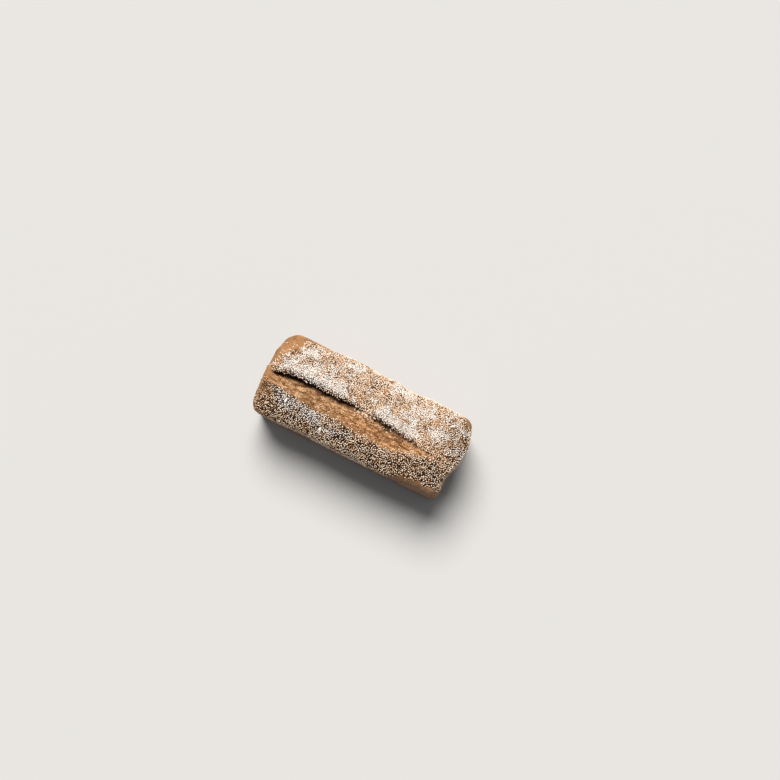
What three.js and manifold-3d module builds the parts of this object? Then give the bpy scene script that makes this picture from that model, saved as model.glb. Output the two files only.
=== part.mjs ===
// Seeded whole wheat tin loaf: one solid, a slashed crust with the seeds that stand out of its top.
// Millimetres, +Z up. The origin is on the flat base under the middle of the loaf's box. +X runs along the
// loaf and +Y across it.
import * as THREE from "three";
import Module from "manifold-3d";

// Driving dimensions of the crust
const LENGTH = 245; // over the shoulders at the corners, along X
const WIDTH = 103; // over the shoulders, mean of the two ends
const SIDE_BOW = 0.018; // how far the long sides swell at mid length, as a share of the half width
const END_TAPER = 0.022; // how much wider the -X end is than the +X end, as a share of the half width
const SHOULDER_Z = 60; // height where the dough left the tin
const CROWN = 24; // rise of the top above the shoulder
const CORNER_RADIUS = 8; // of the tin, seen from above
const ROUND_CORNERS = [
  { end: -1, side: 1, radius: 18 },
  { end: -1, side: -1, radius: 12 },
  { end: 1, side: 1, radius: 13 },
]; // corners of the top that are rounder than the tin's, by the signs of their X and Y
const END_BOWS = [
  { end: -1, swell: 3, y: 4, reach: 60 },
  { end: 1, swell: 5, y: 13, reach: 40 },
  { end: 1, swell: -3.2, y: -30, reach: 26 },
]; // how far the top swells past the tin at the -X and +X ends, where across the loaf and how wide
const BOW_START = 0.7; // share of the half length where the ends begin to swell
const DENTS = [
  { side: 1, x: 44, depth: 2.8, reach: 15 },
  { side: 1, x: -28, depth: -1.2, reach: 18 },
  { side: -1, x: -54, depth: 1.6, reach: 20 },
]; // shallow dents of the top's long sides, where a negative depth is a swelling
const SHOULDER_BULGE = 0.8; // how far the shoulder swells out over the tin's wall
const BULGE_DEPTH = 16; // height over which that swelling dies away
const WALL_DRAFT = 0.015; // inset of the walls for each millimetre down, from the tin's slope
const BASE_EDGE_RADIUS = 5;

// Roundness of the top: a higher power is a flatter top with a tighter shoulder
const CROWN_POWER = 2.6; // across the loaf
const END_POWER = 9; // along the loaf
const END_ROOT = 4;
const DROOP = 0.24; // share of the crown lost at the low corner, -X and +Y

// Slow unevenness of the top: height, the lengths of its waves and where they start
const SWELLS = [
  { height: 0.9, along: 26, across: 21, start: 0.6 },
  { height: 0.6, along: 13, across: 15, start: 2.1 },
];

// The slash, a long cut that opened in the oven: a steep lip on its +Y side, a floor that rises towards -Y
const LIP_Y = 5;
const LIP_PEAK_X = -71; // where the lip lies furthest towards +Y
const LIP_BEND_RADIUS = 950; // of the lip's slow curve, seen from above
const LIP_HOOK = { y: 7, from: -97, to: -117 }; // turn of the lip towards -Y near the -X end
const SLASH_CENTRE_X = -8;
const SLASH_HALF_LENGTH = 110;
const SLASH_WIDTH = 28;
const SLASH_DEPTH = 12; // at the -X end
const SLASH_START = { from: -117, to: -106 }; // where it sinks from the crust to that depth
const SLASH_FADE = 0.85; // share of that depth lost towards the +X end
const SLASH_TAIL = { from: 38, to: 105, narrowed: 0.85, raised: 0.75 }; // how it dies away at the +X end
const SLASH_BRIDGE = { x: 5, reach: 13, share: 0.75 }; // where the slash is almost closed
const WIDTH_POWER = 5; // a higher power is a blunter end, for the slash's outline
const DEPTH_POWER = 12; // the same for its depth
const LEAST_OPENING = 0.06; // keeps the slash's rows apart past its ends
const SLIT_SHARE = 0.05; // share of the slash's width that the steep wall under the lip takes
const FLOOR_POWER = 1.7; // how the floor rises from the slit to the far edge
const LIP_OVERHANG = 0.22; // reach of the lip over the slit, as a share of the slash's depth
const LIP_BACK = 9; // how far behind its edge the lip leans and lifts
const LIP_LIFT = 1.4;

// Mesh of the crust
const SIDE_STEPS = 35; // steps along the loaf between its rounded corners
const CORNER_STEPS = 7; // steps along the loaf in the rounding of each corner
const LOBE_STEPS = 9; // steps from the lip to the +Y shoulder
const RIM_STEPS = 7; // steps from the slash's far edge to the -Y shoulder
const SLASH_STEPS = [SLIT_SHARE, 0.22, 0.45, 0.72]; // shares of the slash's width that have a row
const WALL_HEIGHTS = [0.9, 0.74, 0.1, 0.03, 0]; // rings down the wall, as shares of the shoulder's height

// The toppings: sunflower kernels first, then sesame seeds, spread evenly over the top
const TOPPINGS = [
  { count: 14, length: 8, width: 4.2, thickness: 2.8, sides: 6, rings: 4, first: 11 },
  { count: 165, length: 2.3, width: 1.5, thickness: 1.1, sides: 5, rings: 3, first: 101 },
];
const SEED_TAPER = 0.35; // how much narrower a seed is at its tip
const SEED_SUNK = 0.4; // share of a seed's thickness below the crust
const SEED_EDGE_X = 6; // bare crust at the ends
const SEED_EDGE_Y = 5; // bare crust along the shoulders
const SEED_SLASH_GAP = 2.5; // bare crust along the slash
const BARE_CORNER_X = -100; // the low corner has no seeds beyond these
const BARE_CORNER_Y = 26;
const PLASTIC_NUMBER = 1.324717957244746; // its powers spread the seeds evenly
const SPREAD_STEP = { along: 1 / PLASTIC_NUMBER, across: 1 / PLASTIC_NUMBER ** 2 };
const TURN_STEP = 2.399963; // golden angle between one seed's heading and the next

const HALF_LENGTH = LENGTH / 2;
const HALF_WIDTH = WIDTH / 2;

const smoothstep = THREE.MathUtils.smoothstep;

// How far a corner's rounding takes in the outline at x.
function rounding(x, radius) {
  const past = Math.max(0, Math.abs(x) - HALF_LENGTH + radius);
  return radius - Math.sqrt(Math.max(0, radius ** 2 - past ** 2));
}

// Half width of the tin at x, with its corners rounded.
function tinHalfWidth(x) {
  const u = x / HALF_LENGTH;
  return HALF_WIDTH * (1 + SIDE_BOW * (1 - u * u) - END_TAPER * u) - rounding(x, CORNER_RADIUS);
}

// Half width of the top at x on the side of y: the tin's, less the rounder corners and the dents there.
function topHalfWidth(x, y) {
  let half = tinHalfWidth(x);
  for (const corner of ROUND_CORNERS) {
    const here = corner.end * x > 0 && corner.side * y > 0;
    if (here) half -= rounding(x, corner.radius) - rounding(x, CORNER_RADIUS);
  }
  for (const dent of DENTS) {
    if (dent.side * y > 0) half -= dent.depth * Math.exp(-(((x - dent.x) / dent.reach) ** 2));
  }
  return half;
}

// How far along X the ends' swelling moves the top at x and y.
function endShift(x, y) {
  let shift = 0;
  for (const bow of END_BOWS) {
    const off = Math.min(1, Math.abs(y - bow.y) / bow.reach);
    const across = 0.5 + 0.5 * Math.cos(Math.PI * off);
    shift += bow.end * bow.swell * across * smoothstep((bow.end * x) / HALF_LENGTH, BOW_START, 1);
  }
  return shift;
}

// How far x is from the slash's middle, as a share of its half length: 1 at its two ends and beyond.
function slashReach(x) {
  return Math.min(1, Math.abs(x - SLASH_CENTRE_X) / SLASH_HALF_LENGTH);
}

// 0 along most of the slash, rising to 1 where it dies away at the +X end.
function slashTail(x) {
  return smoothstep(x, SLASH_TAIL.from, SLASH_TAIL.to);
}

function slashWidth(x) {
  const blunt = Math.sqrt(Math.max(LEAST_OPENING, 1 - slashReach(x) ** WIDTH_POWER));
  return SLASH_WIDTH * blunt * (1 - SLASH_TAIL.narrowed * slashTail(x));
}

function slashDepth(x) {
  const start = smoothstep(x, SLASH_START.from, SLASH_START.to);
  const fade = 1 - SLASH_FADE * smoothstep(x, -HALF_LENGTH, HALF_LENGTH);
  const tail = 1 - SLASH_TAIL.raised * slashTail(x);
  const bridge = 1 - SLASH_BRIDGE.share * Math.exp(-(((x - SLASH_BRIDGE.x) / SLASH_BRIDGE.reach) ** 2));
  return SLASH_DEPTH * start * fade * tail * bridge * Math.sqrt(1 - slashReach(x) ** DEPTH_POWER);
}

// Where the slash's lip lies across the loaf.
function lipY(x) {
  const hook = LIP_HOOK.y * smoothstep(-x, -LIP_HOOK.from, -LIP_HOOK.to);
  return LIP_Y - (x - LIP_PEAK_X) ** 2 / (2 * LIP_BEND_RADIUS) - hook;
}

// Height of the top above the shoulder, without the slash. u and v are shares of the half length and width.
function crownAt(u, v) {
  const across = Math.max(0, 1 - Math.abs(v) ** CROWN_POWER) ** (1 / CROWN_POWER);
  const along = Math.max(0, 1 - Math.abs(u) ** END_POWER) ** (1 / END_ROOT);
  const droop = 1 - DROOP * smoothstep(-u, 0.6, 1) * smoothstep(v, 0.1, 1);
  let swell = 0;
  for (const wave of SWELLS) {
    const x = (u * HALF_LENGTH) / wave.along + wave.start;
    const y = (v * HALF_WIDTH) / wave.across + wave.start;
    swell += wave.height * Math.sin(x) * Math.cos(y);
  }
  return (CROWN * droop + swell) * across * along;
}

// The point of the top crust at x along the loaf and y across it.
function crustPoint(x, y) {
  const u = x / HALF_LENGTH;
  const v = THREE.MathUtils.clamp(y / topHalfWidth(x, y), -1, 1);
  const depth = slashDepth(x);
  const behind = y - lipY(x);
  const share = -behind / slashWidth(x);
  let z = SHOULDER_Z + crownAt(u, v);
  let lean = 0;
  if (behind >= 0) {
    const near = Math.max(0, 1 - behind / LIP_BACK) ** 2;
    lean = LIP_OVERHANG * depth * near;
    z += (LIP_LIFT * near * depth) / SLASH_DEPTH;
  } else if (share < 1) {
    z -= depth * Math.min(1, share / SLIT_SHARE) * (1 - share) ** FLOOR_POWER;
  }
  return new THREE.Vector3(x + endShift(x, y), y - lean, z);
}

// Steps from 0 to 1 that gather towards 1, as a quarter circle's do.
function easedSteps(count) {
  return Array.from({ length: count + 1 }, (_, i) => Math.sin((i / count) * (Math.PI / 2)));
}

// Where the rows of the top lie across the loaf at x, from the -Y shoulder to the +Y shoulder.
function rowsAt(x) {
  const lip = lipY(x);
  const far = lip - slashWidth(x);
  const rim = easedSteps(RIM_STEPS).map((s) => far - s * (topHalfWidth(x, -1) + far));
  const floor = SLASH_STEPS.map((s) => lip - s * slashWidth(x));
  const lobe = easedSteps(LOBE_STEPS).map((s) => lip + s * (topHalfWidth(x, 1) - lip));
  return [...rim.reverse(), ...floor.reverse(), ...lobe];
}

// Where the columns of the top lie along the loaf: even between the corners, then round each corner's arc.
function columns() {
  const widest = Math.max(...ROUND_CORNERS.map((corner) => corner.radius));
  const straight = HALF_LENGTH - widest;
  const corner = easedSteps(CORNER_STEPS).map((s) => straight + s * widest);
  const side = Array.from({ length: SIDE_STEPS - 1 }, (_, i) => (2 * (i + 1)) / SIDE_STEPS - 1);
  return [...corner.map((x) => -x).reverse(), ...side.map((s) => s * straight), ...corner];
}

// The wall's point at height z under a point of the top's outline, x along the loaf and y across it.
function wallPoint(x, y, z) {
  const under = Math.max(0, BASE_EDGE_RADIUS - z);
  const edge = BASE_EDGE_RADIUS - Math.sqrt(BASE_EDGE_RADIUS ** 2 - under ** 2);
  const inTin = smoothstep(SHOULDER_Z - z, 0, BULGE_DEPTH);
  const inset = SHOULDER_BULGE * inTin + WALL_DRAFT * (SHOULDER_Z - z) + edge;
  const tinY = (y * tinHalfWidth(x)) / topHalfWidth(x, y);
  const outX = x + (1 - inTin) * endShift(x, y);
  const outY = THREE.MathUtils.lerp(y, tinY, inTin);
  return new THREE.Vector3(outX * (1 - inset / HALF_LENGTH), outY * (1 - inset / HALF_WIDTH), z);
}

// The bare crust as one closed geometry: the top's grid, rings down the walls and a flat base.
function crustGeometry() {
  const points = [];
  const faces = [];
  const add = (point) => points.push(point) - 1;
  const quad = (a, b, c, d) => faces.push(a, b, c, a, c, d);
  const plan = columns().map((x) => rowsAt(x).map((y) => ({ x, y, index: add(crustPoint(x, y)) })));
  const last = plan.length - 1;
  const rows = plan[0].length;
  for (let i = 0; i < last; i++) {
    for (let j = 0; j < rows - 1; j++) {
      quad(plan[i][j].index, plan[i + 1][j].index, plan[i + 1][j + 1].index, plan[i][j + 1].index);
    }
  }
  // The outline of the top, anticlockwise seen from above.
  const outline = [
    ...plan.map((column) => column[0]),
    ...plan[last].slice(1),
    ...plan.map((column) => column[rows - 1]).reverse().slice(1),
    ...plan[0].slice(1, rows - 1).reverse(),
  ];
  let ring = outline.map((place) => place.index);
  for (const share of WALL_HEIGHTS) {
    const next = outline.map((place) => add(wallPoint(place.x, place.y, share * SHOULDER_Z)));
    ring.forEach((upper, k) => {
      const after = (k + 1) % ring.length;
      quad(next[k], next[after], ring[after], upper);
    });
    ring = next;
  }
  const middle = add(new THREE.Vector3(0, 0, 0));
  ring.forEach((corner, k) => faces.push(middle, ring[(k + 1) % ring.length], corner));
  return new THREE.BufferGeometry().setFromPoints(points).setIndex(faces);
}

// True where the real loaf is seeded: on the top, clear of the slash and of the bare corner.
function isSeeded(x, y) {
  const lip = lipY(x);
  const inSlash = y < lip + LIP_BACK / 2 && y > lip - slashWidth(x) - SEED_SLASH_GAP;
  const inCorner = x < BARE_CORNER_X && y > BARE_CORNER_Y;
  const atSide = Math.abs(y) >= topHalfWidth(x, y) - SEED_EDGE_Y;
  const atEnd = Math.abs(x) >= HALF_LENGTH - SEED_EDGE_X;
  return !(inSlash || inCorner || atSide || atEnd);
}

// A teardrop seed along its own X axis, flat side down.
function seedGeometry(topping) {
  const geometry = new THREE.SphereGeometry(0.5, topping.sides, topping.rings).rotateZ(-Math.PI / 2);
  const position = geometry.getAttribute("position");
  for (let i = 0; i < position.count; i++) {
    const narrow = 1 - SEED_TAPER * (position.getX(i) + 0.5);
    const y = position.getY(i) * topping.width * narrow;
    const z = position.getZ(i) * topping.thickness * narrow;
    position.setXYZ(i, position.getX(i) * topping.length, y, z);
  }
  return geometry;
}

// Where the seeds of one topping lie on the crust: matrices from a seed's own axes to the loaf's.
function seedPlaces(topping, crust) {
  const places = [];
  const drop = new THREE.Raycaster();
  for (let n = topping.first; places.length < topping.count; n++) {
    const x = (2 * ((n * SPREAD_STEP.along) % 1) - 1) * HALF_LENGTH;
    const y = (2 * ((n * SPREAD_STEP.across) % 1) - 1) * HALF_WIDTH;
    if (!isSeeded(x, y)) continue;
    drop.set(new THREE.Vector3(x, y, LENGTH), new THREE.Vector3(0, 0, -1));
    const [seat] = drop.intersectObject(crust);
    const normal = seat.face.normal;
    const turn = n * TURN_STEP;
    const heading = new THREE.Vector3(Math.cos(turn), Math.sin(turn), 0);
    const side = normal.clone().cross(heading).normalize();
    const place = new THREE.Matrix4().makeBasis(side.clone().cross(normal), side, normal);
    places.push(place.setPosition(seat.point.addScaledVector(normal, (0.5 - SEED_SUNK) * topping.thickness)));
  }
  return places;
}

const wasm = await Module();
wasm.setup();

// A closed geometry as a solid, with the vertices that share a place made one.
function solidFrom(geometry) {
  const position = geometry.getAttribute("position");
  const found = new Map();
  const vertices = [];
  const triangles = [];
  const corners = geometry.index.array;
  for (let i = 0; i < corners.length; i += 3) {
    const face = [0, 1, 2].map((k) => {
      const at = new THREE.Vector3().fromBufferAttribute(position, corners[i + k]).toArray();
      const key = at.map((value) => Math.round(value * 1e4)).join();
      if (!found.has(key)) found.set(key, vertices.push(at) - 1);
      return found.get(key);
    });
    if (new Set(face).size === 3) triangles.push(...face);
  }
  const vertProperties = new Float32Array(vertices.flat());
  const triVerts = new Uint32Array(triangles);
  return new wasm.Manifold(new wasm.Mesh({ numProp: 3, vertProperties, triVerts }));
}

// A solid's surface as a geometry.
function geometryFrom(solid) {
  const mesh = solid.getMesh();
  const geometry = new THREE.BufferGeometry();
  geometry.setAttribute("position", new THREE.BufferAttribute(mesh.vertProperties, mesh.numProp));
  geometry.setIndex(new THREE.BufferAttribute(mesh.triVerts, 1));
  geometry.computeVertexNormals();
  return geometry;
}

// The loaf: the bare crust with every seed joined to it.
function loafMesh() {
  const material = new THREE.MeshStandardMaterial({ color: 0xb98a58, roughness: 0.85, metalness: 0 });
  const crust = new THREE.Mesh(crustGeometry(), material);
  let solid = solidFrom(crust.geometry);
  for (const topping of TOPPINGS) {
    const seed = seedGeometry(topping);
    for (const place of seedPlaces(topping, crust)) {
      solid = solid.add(solidFrom(seed.clone().applyMatrix4(place)));
    }
  }
  const geometry = geometryFrom(solid);
  geometry.computeBoundingBox();
  const middle = geometry.boundingBox.getCenter(new THREE.Vector3());
  const mesh = new THREE.Mesh(geometry.translate(-middle.x, -middle.y, 0), material);
  mesh.name = "loaf";
  return mesh;
}

const loaf = new THREE.Group();
loaf.add(loafMesh());

export default loaf;
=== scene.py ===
"""Seeded whole wheat tin loaf: its crust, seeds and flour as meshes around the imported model."""
import itertools
import math

import bpy
import numpy as np
from mathutils import Euler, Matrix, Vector
from mathutils.bvhtree import BVHTree


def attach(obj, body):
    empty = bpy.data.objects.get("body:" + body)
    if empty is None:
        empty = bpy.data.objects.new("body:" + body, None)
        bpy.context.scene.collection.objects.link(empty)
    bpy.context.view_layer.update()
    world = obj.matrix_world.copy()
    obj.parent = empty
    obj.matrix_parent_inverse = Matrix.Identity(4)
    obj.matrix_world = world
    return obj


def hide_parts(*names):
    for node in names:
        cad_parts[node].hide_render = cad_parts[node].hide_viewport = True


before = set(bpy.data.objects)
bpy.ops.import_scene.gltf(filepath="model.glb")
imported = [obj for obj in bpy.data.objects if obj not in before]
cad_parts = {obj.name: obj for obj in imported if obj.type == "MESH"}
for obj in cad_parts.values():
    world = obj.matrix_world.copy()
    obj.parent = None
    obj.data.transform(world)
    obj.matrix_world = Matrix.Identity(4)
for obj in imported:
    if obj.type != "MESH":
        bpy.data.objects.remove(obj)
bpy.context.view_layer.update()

MM = 0.001

# The loaf's form in millimetres, the same as the solid's
LENGTH = 245.0
WIDTH = 103.0
SIDE_BOW = 0.018  # swelling of the long sides, as a share of the half width
END_TAPER = 0.022  # narrowing towards the +X end, the same way
SHOULDER_Z = 60.0  # height at which the top leaves the walls
CROWN = 24.0  # height of the top above the shoulder
CORNER_RADIUS = 8.0  # of the tin, seen from above
ROUND_CORNERS = (  # of the top, rounder than the tin's, by the signs of their X and Y
    {"end": -1, "side": 1, "radius": 18.0},
    {"end": -1, "side": -1, "radius": 12.0},
    {"end": 1, "side": 1, "radius": 13.0},
)
END_BOWS = (  # swellings of the top's ends, where a negative one is a hollow
    {"end": -1, "swell": 3.0, "y": 4.0, "reach": 60.0},
    {"end": 1, "swell": 5.0, "y": 13.0, "reach": 40.0},
    {"end": 1, "swell": -3.2, "y": -30.0, "reach": 26.0},
)
BOW_START = 0.7  # share of the half length at which they begin
DENTS = (  # of the top's long sides, where a negative one is a swelling
    {"side": 1, "x": 44.0, "depth": 2.8, "reach": 15.0},
    {"side": 1, "x": -28.0, "depth": -1.2, "reach": 18.0},
    {"side": -1, "x": -54.0, "depth": 1.6, "reach": 20.0},
)
SHOULDER_BULGE = 0.8  # how far the shoulder stands out over the walls
BULGE_DEPTH = 16.0  # height over which it does
WALL_DRAFT = 0.015  # inset of the walls for each millimetre down
BASE_EDGE_RADIUS = 5.0
CROWN_POWER = 2.6  # how square the top's section is
END_POWER = 9  # how late the top falls towards its ends
END_ROOT = 4  # how steeply it falls there
DROOP = {"share": 0.24, "along": (0.6, 1.0), "across": (0.1, 1.0)}  # of the top's low corner, at -X and +Y
SWELLS = (  # slow waves of the top
    {"height": 0.9, "along": 26.0, "across": 21.0, "start": 0.6},
    {"height": 0.6, "along": 13.0, "across": 15.0, "start": 2.1},
)
LIP_Y = 5.0  # where the slash's lip lies at its peak
LIP_PEAK_X = -71.0  # where it lies furthest towards +Y
LIP_BEND_RADIUS = 950.0  # of its slow curve
LIP_HOOK = {"y": 7.0, "x": (-97.0, -117.0)}  # its turn towards -Y near the -X end
SLASH_CENTRE_X = -8.0
SLASH_HALF_LENGTH = 110.0
SLASH_WIDTH = 28.0
SLASH_DEPTH = 12.0  # at the -X end
WIDTH_POWER = 5  # bluntness of the slash's ends, seen from above
DEPTH_POWER = 12  # bluntness of its ends in depth
LEAST_OPENING = 0.06  # keeps its two edges apart past its ends
SLASH_START = (-117.0, -106.0)  # between which it sinks in
SLASH_FADE = 0.85  # share of its depth lost along the loaf
SLASH_TAIL = {"x": (38.0, 105.0), "narrowed": 0.85, "raised": 0.75}  # how it dies away at the +X end
SLASH_BRIDGE = {"x": 5.0, "reach": 13.0, "share": 0.75}  # where it is almost closed
SLIT_SHARE = 0.05  # share of its width under the lip that is a steep wall
FLOOR_POWER = 1.7  # how its floor rises from there to the near edge
LIP_OVERHANG = 0.22  # how far the lip leans over, as a share of the depth
LIP_BACK = 9.0  # how far behind its edge the lip leans and lifts
LIP_LIFT = 1.4
HALF_LENGTH = LENGTH / 2
HALF_WIDTH = WIDTH / 2

# Detail of the form that the solid leaves to the scene, in millimetres
LIP_RAGGED = 1.9  # how far the lip's edge strays from its smooth line
RAGGED_DEPTH = (1.0, 6.0)  # depths of the slash between which its lip grows ragged
OPEN_DEPTH = (1.0, 5.0)  # depths between which it counts as open
LIP_UNDERCUT = 4.0  # how far the steep wall bows back under the lip
LIP_ROLL = 1.2  # how far the lip's edge rolls down, and over what distance
TORN_ENDS = 0.12  # share of the slash's half length over which its ends tear
TORN_EDGE = 0.25  # share of its width over which its near edge tears
UNDER_LIP = (0.5, 0.9)  # shares of the steep wall's height between which it turns to crust
RIM_HEIGHT = 4.0  # how far above the shoulder the relief still points level
OUTWARD_POWER = 14  # how closely that direction keeps square to the walls

# Relief. A layer of noise is a height, a width and a seed. A mask is a width, a seed and two limits
TOP_BUMPS = ((0.9, 13.0, 1), (0.45, 5.0, 2), (0.22, 1.9, 3))
CRUMB_BUMPS = ((0.5, 5.0, 5), (0.5, 1.9, 6))
CRUMB_RIDGES = {"height": 0.6, "level": 0.4, "noise": (2.4, 4)}
PIT_LAYERS = ((1.0, (3.4, 2.4, 2.4), 14), (0.4, 7.0, 15))
PIT_FADE = (0.2, 0.65)
PIT_DEPTH = 0.9
TIN_WAVES = ((0.7, 30.0, 9), (0.3, 9.0, 12), (0.12, 3.0, 10))
PORES = (2.8, 7, 0.4, 0.75)
PORED_PARTS = (17.0, 8, -0.5, 0.4)
PORE_DEPTH = 0.6
CREASES = {"depth": 0.25, "reach": 0.12, "noise": (11.0, 11)}
CREASED_PARTS = (23.0, 13, 0.0, 0.4)
LIP_BAYS = ((0.5, 13.0, 30), (0.5, 6.0, 31), (0.5, 2.4, 32))  # heights as shares of LIP_RAGGED
WALL_FADE = (-4.0, 8.0)  # heights from the shoulder between which the walls' relief ends
FOOT_HEIGHT = 5.0  # height above the base over which the relief sets in

# Steps of the crust's mesh
SIDE_STEPS = 280
CORNER_STEPS = 14
RIM_ROWS = 42
FLOOR_ROWS = 32
SLIT_ROWS = 10
LOBE_ROWS = 66
WALL_ROWS = 42
EDGE_ROWS = 6
BASE_RINGS = (0.86, 0.6, 0.3)

# The solid's own seeds: how many, where they start in the even spread, and their size
KERNELS = {"count": 14, "first": 11, "size": (8.0, 4.2, 2.8)}
SOLID_SESAME = {"count": 165, "first": 101, "size": (2.3, 1.5, 1.1)}
PLASTIC_NUMBER = 1.324717957244746  # its inverse powers spread places evenly
SPREAD_STEP = (1 / PLASTIC_NUMBER, 1 / PLASTIC_NUMBER ** 2)
TURN_STEP = 2.399963  # the golden angle, from one seed's heading to the next
SOLID_EDGE_X = 6.0  # bare crust at the ends
SOLID_EDGE_Y = 5.0  # bare crust along the shoulders
SOLID_SLASH_GAP = 2.5  # bare crust along the slash's near edge
SOLID_BARE_CORNER = (-100.0, 26.0)  # no seeds beyond this x and y

# Where the seeds end. A value that moves along the loaf is a pair, and moves between two places along X
SEED_NEAR_Y = {"values": (-58.0, -41.0), "moves": (12.0, 110.0), "fade": (-2.0, 2.0)}
SEED_FAR_Y = {"values": (48.5, 53.5), "moves": (-90.0, -30.0), "fade": (-3.0, 4.0)}
SEED_LOWEST_Z = {"values": (50.0, 57.0), "moves": (-40.0, 20.0), "fade": (-6.0, 8.0)}
SEED_END_X = -119.0
SEED_END_FADE = (-3.0, 3.0)
SEED_STRAY_X = ((3.0, 8.0, 41),)  # layers of noise by which these limits stray
SEED_STRAY_Y = ((3.0, 8.0, 42),)
SEED_STRAY_Z = ((6.0, 19.0, 45),)
SPOT_MARGIN = 4.0  # how far below the lowest seeds spots are tried
BARE_CORNERS = (
    {"place": (-124.0, 53.0), "reach": (28.0, 37.0)},
    {"place": (127.0, 50.0), "reach": (16.0, 12.0)},
)
BARE_POWER = 1.6  # a bare patch ends on a curve between a straight cut and an ellipse
BARE_FADE = (0.55, 1.5)  # shares of its reach between which the seeds set in
STRAY_SHARE = 0.024  # single seeds where the top is bare otherwise
STRAY_RISE = (6.0, 14.0)  # heights above the shoulder between which they set in
SPARSE_PARTS = (4.2, 43, 0.25, 0.6)
SPARSE_THINNED = 0.3
START_X = (-85.0, -105.0)  # between which the seeds change towards the -X end
START_THINNED = 0.1

# Where the top is darkest between the seeds: browner crust, and painted shade between the seeds
NEAR_LOBE_FADE = (-3.0, 8.0)  # distances past the slash's near edge between which it sets in
LIP_EDGE_FADE = (1.0, 6.0)  # distances behind the lip between which its edge ends
# Dark between the seeds on the lip's rolled edge: painted shade
LIP_EDGE_SHADE = 0.9
PLUS_END_X = (85.0, 118.0)
# Dark between the seeds at the +X end: painted shade between them
PLUS_END_DARK = 0.6

# Seeds in the slash, by the share of its width from the near edge
SLASH_EDGE_STRAY = ((0.2, 6.0, 44), (0.15, 2.5, 46))
STREWN_START = -0.06
STREWN_END = {"values": (0.2, 0.48), "moves": (0.0, 60.0)}
BY_SLIT_FADE = (0.66, 0.86)
BRIDGE_SEEDED = 0.9  # share of seeds by the slit where it is almost closed
TAIL_SEEDED = 0.35  # the same towards the +X end
TAIL_SEEDED_X = (8.0, 30.0)
FLOOR_STRAYS = 0.008  # single seeds on the bare floor

# Sunflower kernels
KERNEL_CLEARING = 2.3  # how far sesame seeds keep from a kernel's middle
KERNEL_VARIES = (0.8, 1.0)
KERNEL_RAISED = 0.2  # its middle's height over the crust, as a share of its thickness
KERNEL_TILT = 0.05
KERNEL_TONED = (0.2, 0.9)
KERNEL_FLOUR = 0.8

# Sesame seeds
SESAME_SIZE = (2.2, 1.24, 1.0)  # length, width and thickness
SESAME_VARIES = {"spread": 0.1, "limits": (0.75, 1.25)}
SESAME_SPOTS = 90000  # how many spots are tried
SESAME_SPACING = 1.42  # least distance between the middles of two seeds of the lower layer
NEAR_SPREAD = {"values": (0.21, 0.34), "moves": (0.0, 50.0)}  # how much wider that is on the near lobe
LOOSE_SPACING = 2.4  # least distance between the seeds that lie on top of them
LOOSE_SHARE = 0.7  # how many of those places are taken on the far lobe
LOOSE_THINNED = 0.66  # how many fewer of them on the near lobe
SESAME_RAISED = (0.15, 0.4)  # their middles' height over the crust, as a share of their thickness
LOOSE_RAISED = 0.5  # how much higher the loose ones lie
SESAME_TILT = (0.15, 0.7)
LOOSE_TILT = 0.2  # how much further the loose ones tip
TONE_SHAPE = (0.9, 2.5)  # of the spread from pale, 0, to brown, 1: most are pale
TONE_WAVES = ((0.16, 9.0, 47),)
TONE_SHIFT = -0.04
START_TOASTED = 0.1  # how much browner the seeds are at the -X end
DARK_TOP_CLUMPS = ((0.5, 3.6, 49),)  # what is added to tones where the top is darkest
DARK_TOP_START_TOASTED = 0.3
# Browner seeds towards +X where the top is darkest: partly toasted, partly painted shade
END_TOAST_AND_SHADE = 0.1
END_TOAST_AND_SHADE_X = (10.0, 60.0)
GOLDEN_TONES = (0.2, 0.4)  # between which a seed is golden: paler below, toasted above
FLOUR_ON_SEEDS = 1.5  # a seed's flour where the dusting is thickest
CLEAN_SEEDS = 0.8  # how much less than that a seed may have

# Flour on the top: along the lip, and in patches of x, y and reach along and across the loaf
FLOUR_LIP = {
    "amount": 1.7, "behind": 6.6, "reach": 9.0, "ease": 9.0, "stretches": ((-106.0, -28.0), (20.0, 66.0)),
}
FLOUR_PATCHES = (
    (-58, 11, 17, 7), (-84, 36, 14, 8), (-32, 43, 14, 7), (28, 45, 16, 7), (64, 33, 15, 9),
    (88, 14, 11, 7), (52, 18, 16, 8), (-99, -20, 12, 5), (-76, -27, 24, 8), (-44, -32, 24, 10),
    (-14, -35, 18, 8),
)
PATCH_AMOUNT = (0.82, 1.0)  # of a patch, on the near and the far side of the slash
PATCH_FALL = 0.7  # how fast a patch fades from its middle
FLOUR_OVERALL = (0.2, 0.46)  # thin dusting of the rest, on the near and the far side
FAR_SIDE_Y = (-6.0, 6.0)  # between which the far side sets in
FLOUR_WAVES = ((0.4, 7.0, 21), (0.3, 3.0, 22))
FLOUR_FADE = (0.2, 0.95)
FLOUR_Z = (64.0, 72.0)  # heights between which flour sets in
FLOUR_GRAIN = 0.42  # width of a grain
GRAIN_VARIES = (0.6, 1.5)
GRAIN_TILT = 0.6
GRAIN_LEAST_RISE = 0.1  # height on a seed of unit thickness above which grains lie
SEED_GRAINS = 6000  # how many grains lie on seeds
CRUST_GRAIN_SPOTS = 24000  # how many spots are tried for more on the crust
CRUST_GRAINS = 0.6  # share of those spots taken where the dusting is thickest
DARKEST_CLEAN = 0.95  # share of the crust's flour missing where it is darkest
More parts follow.
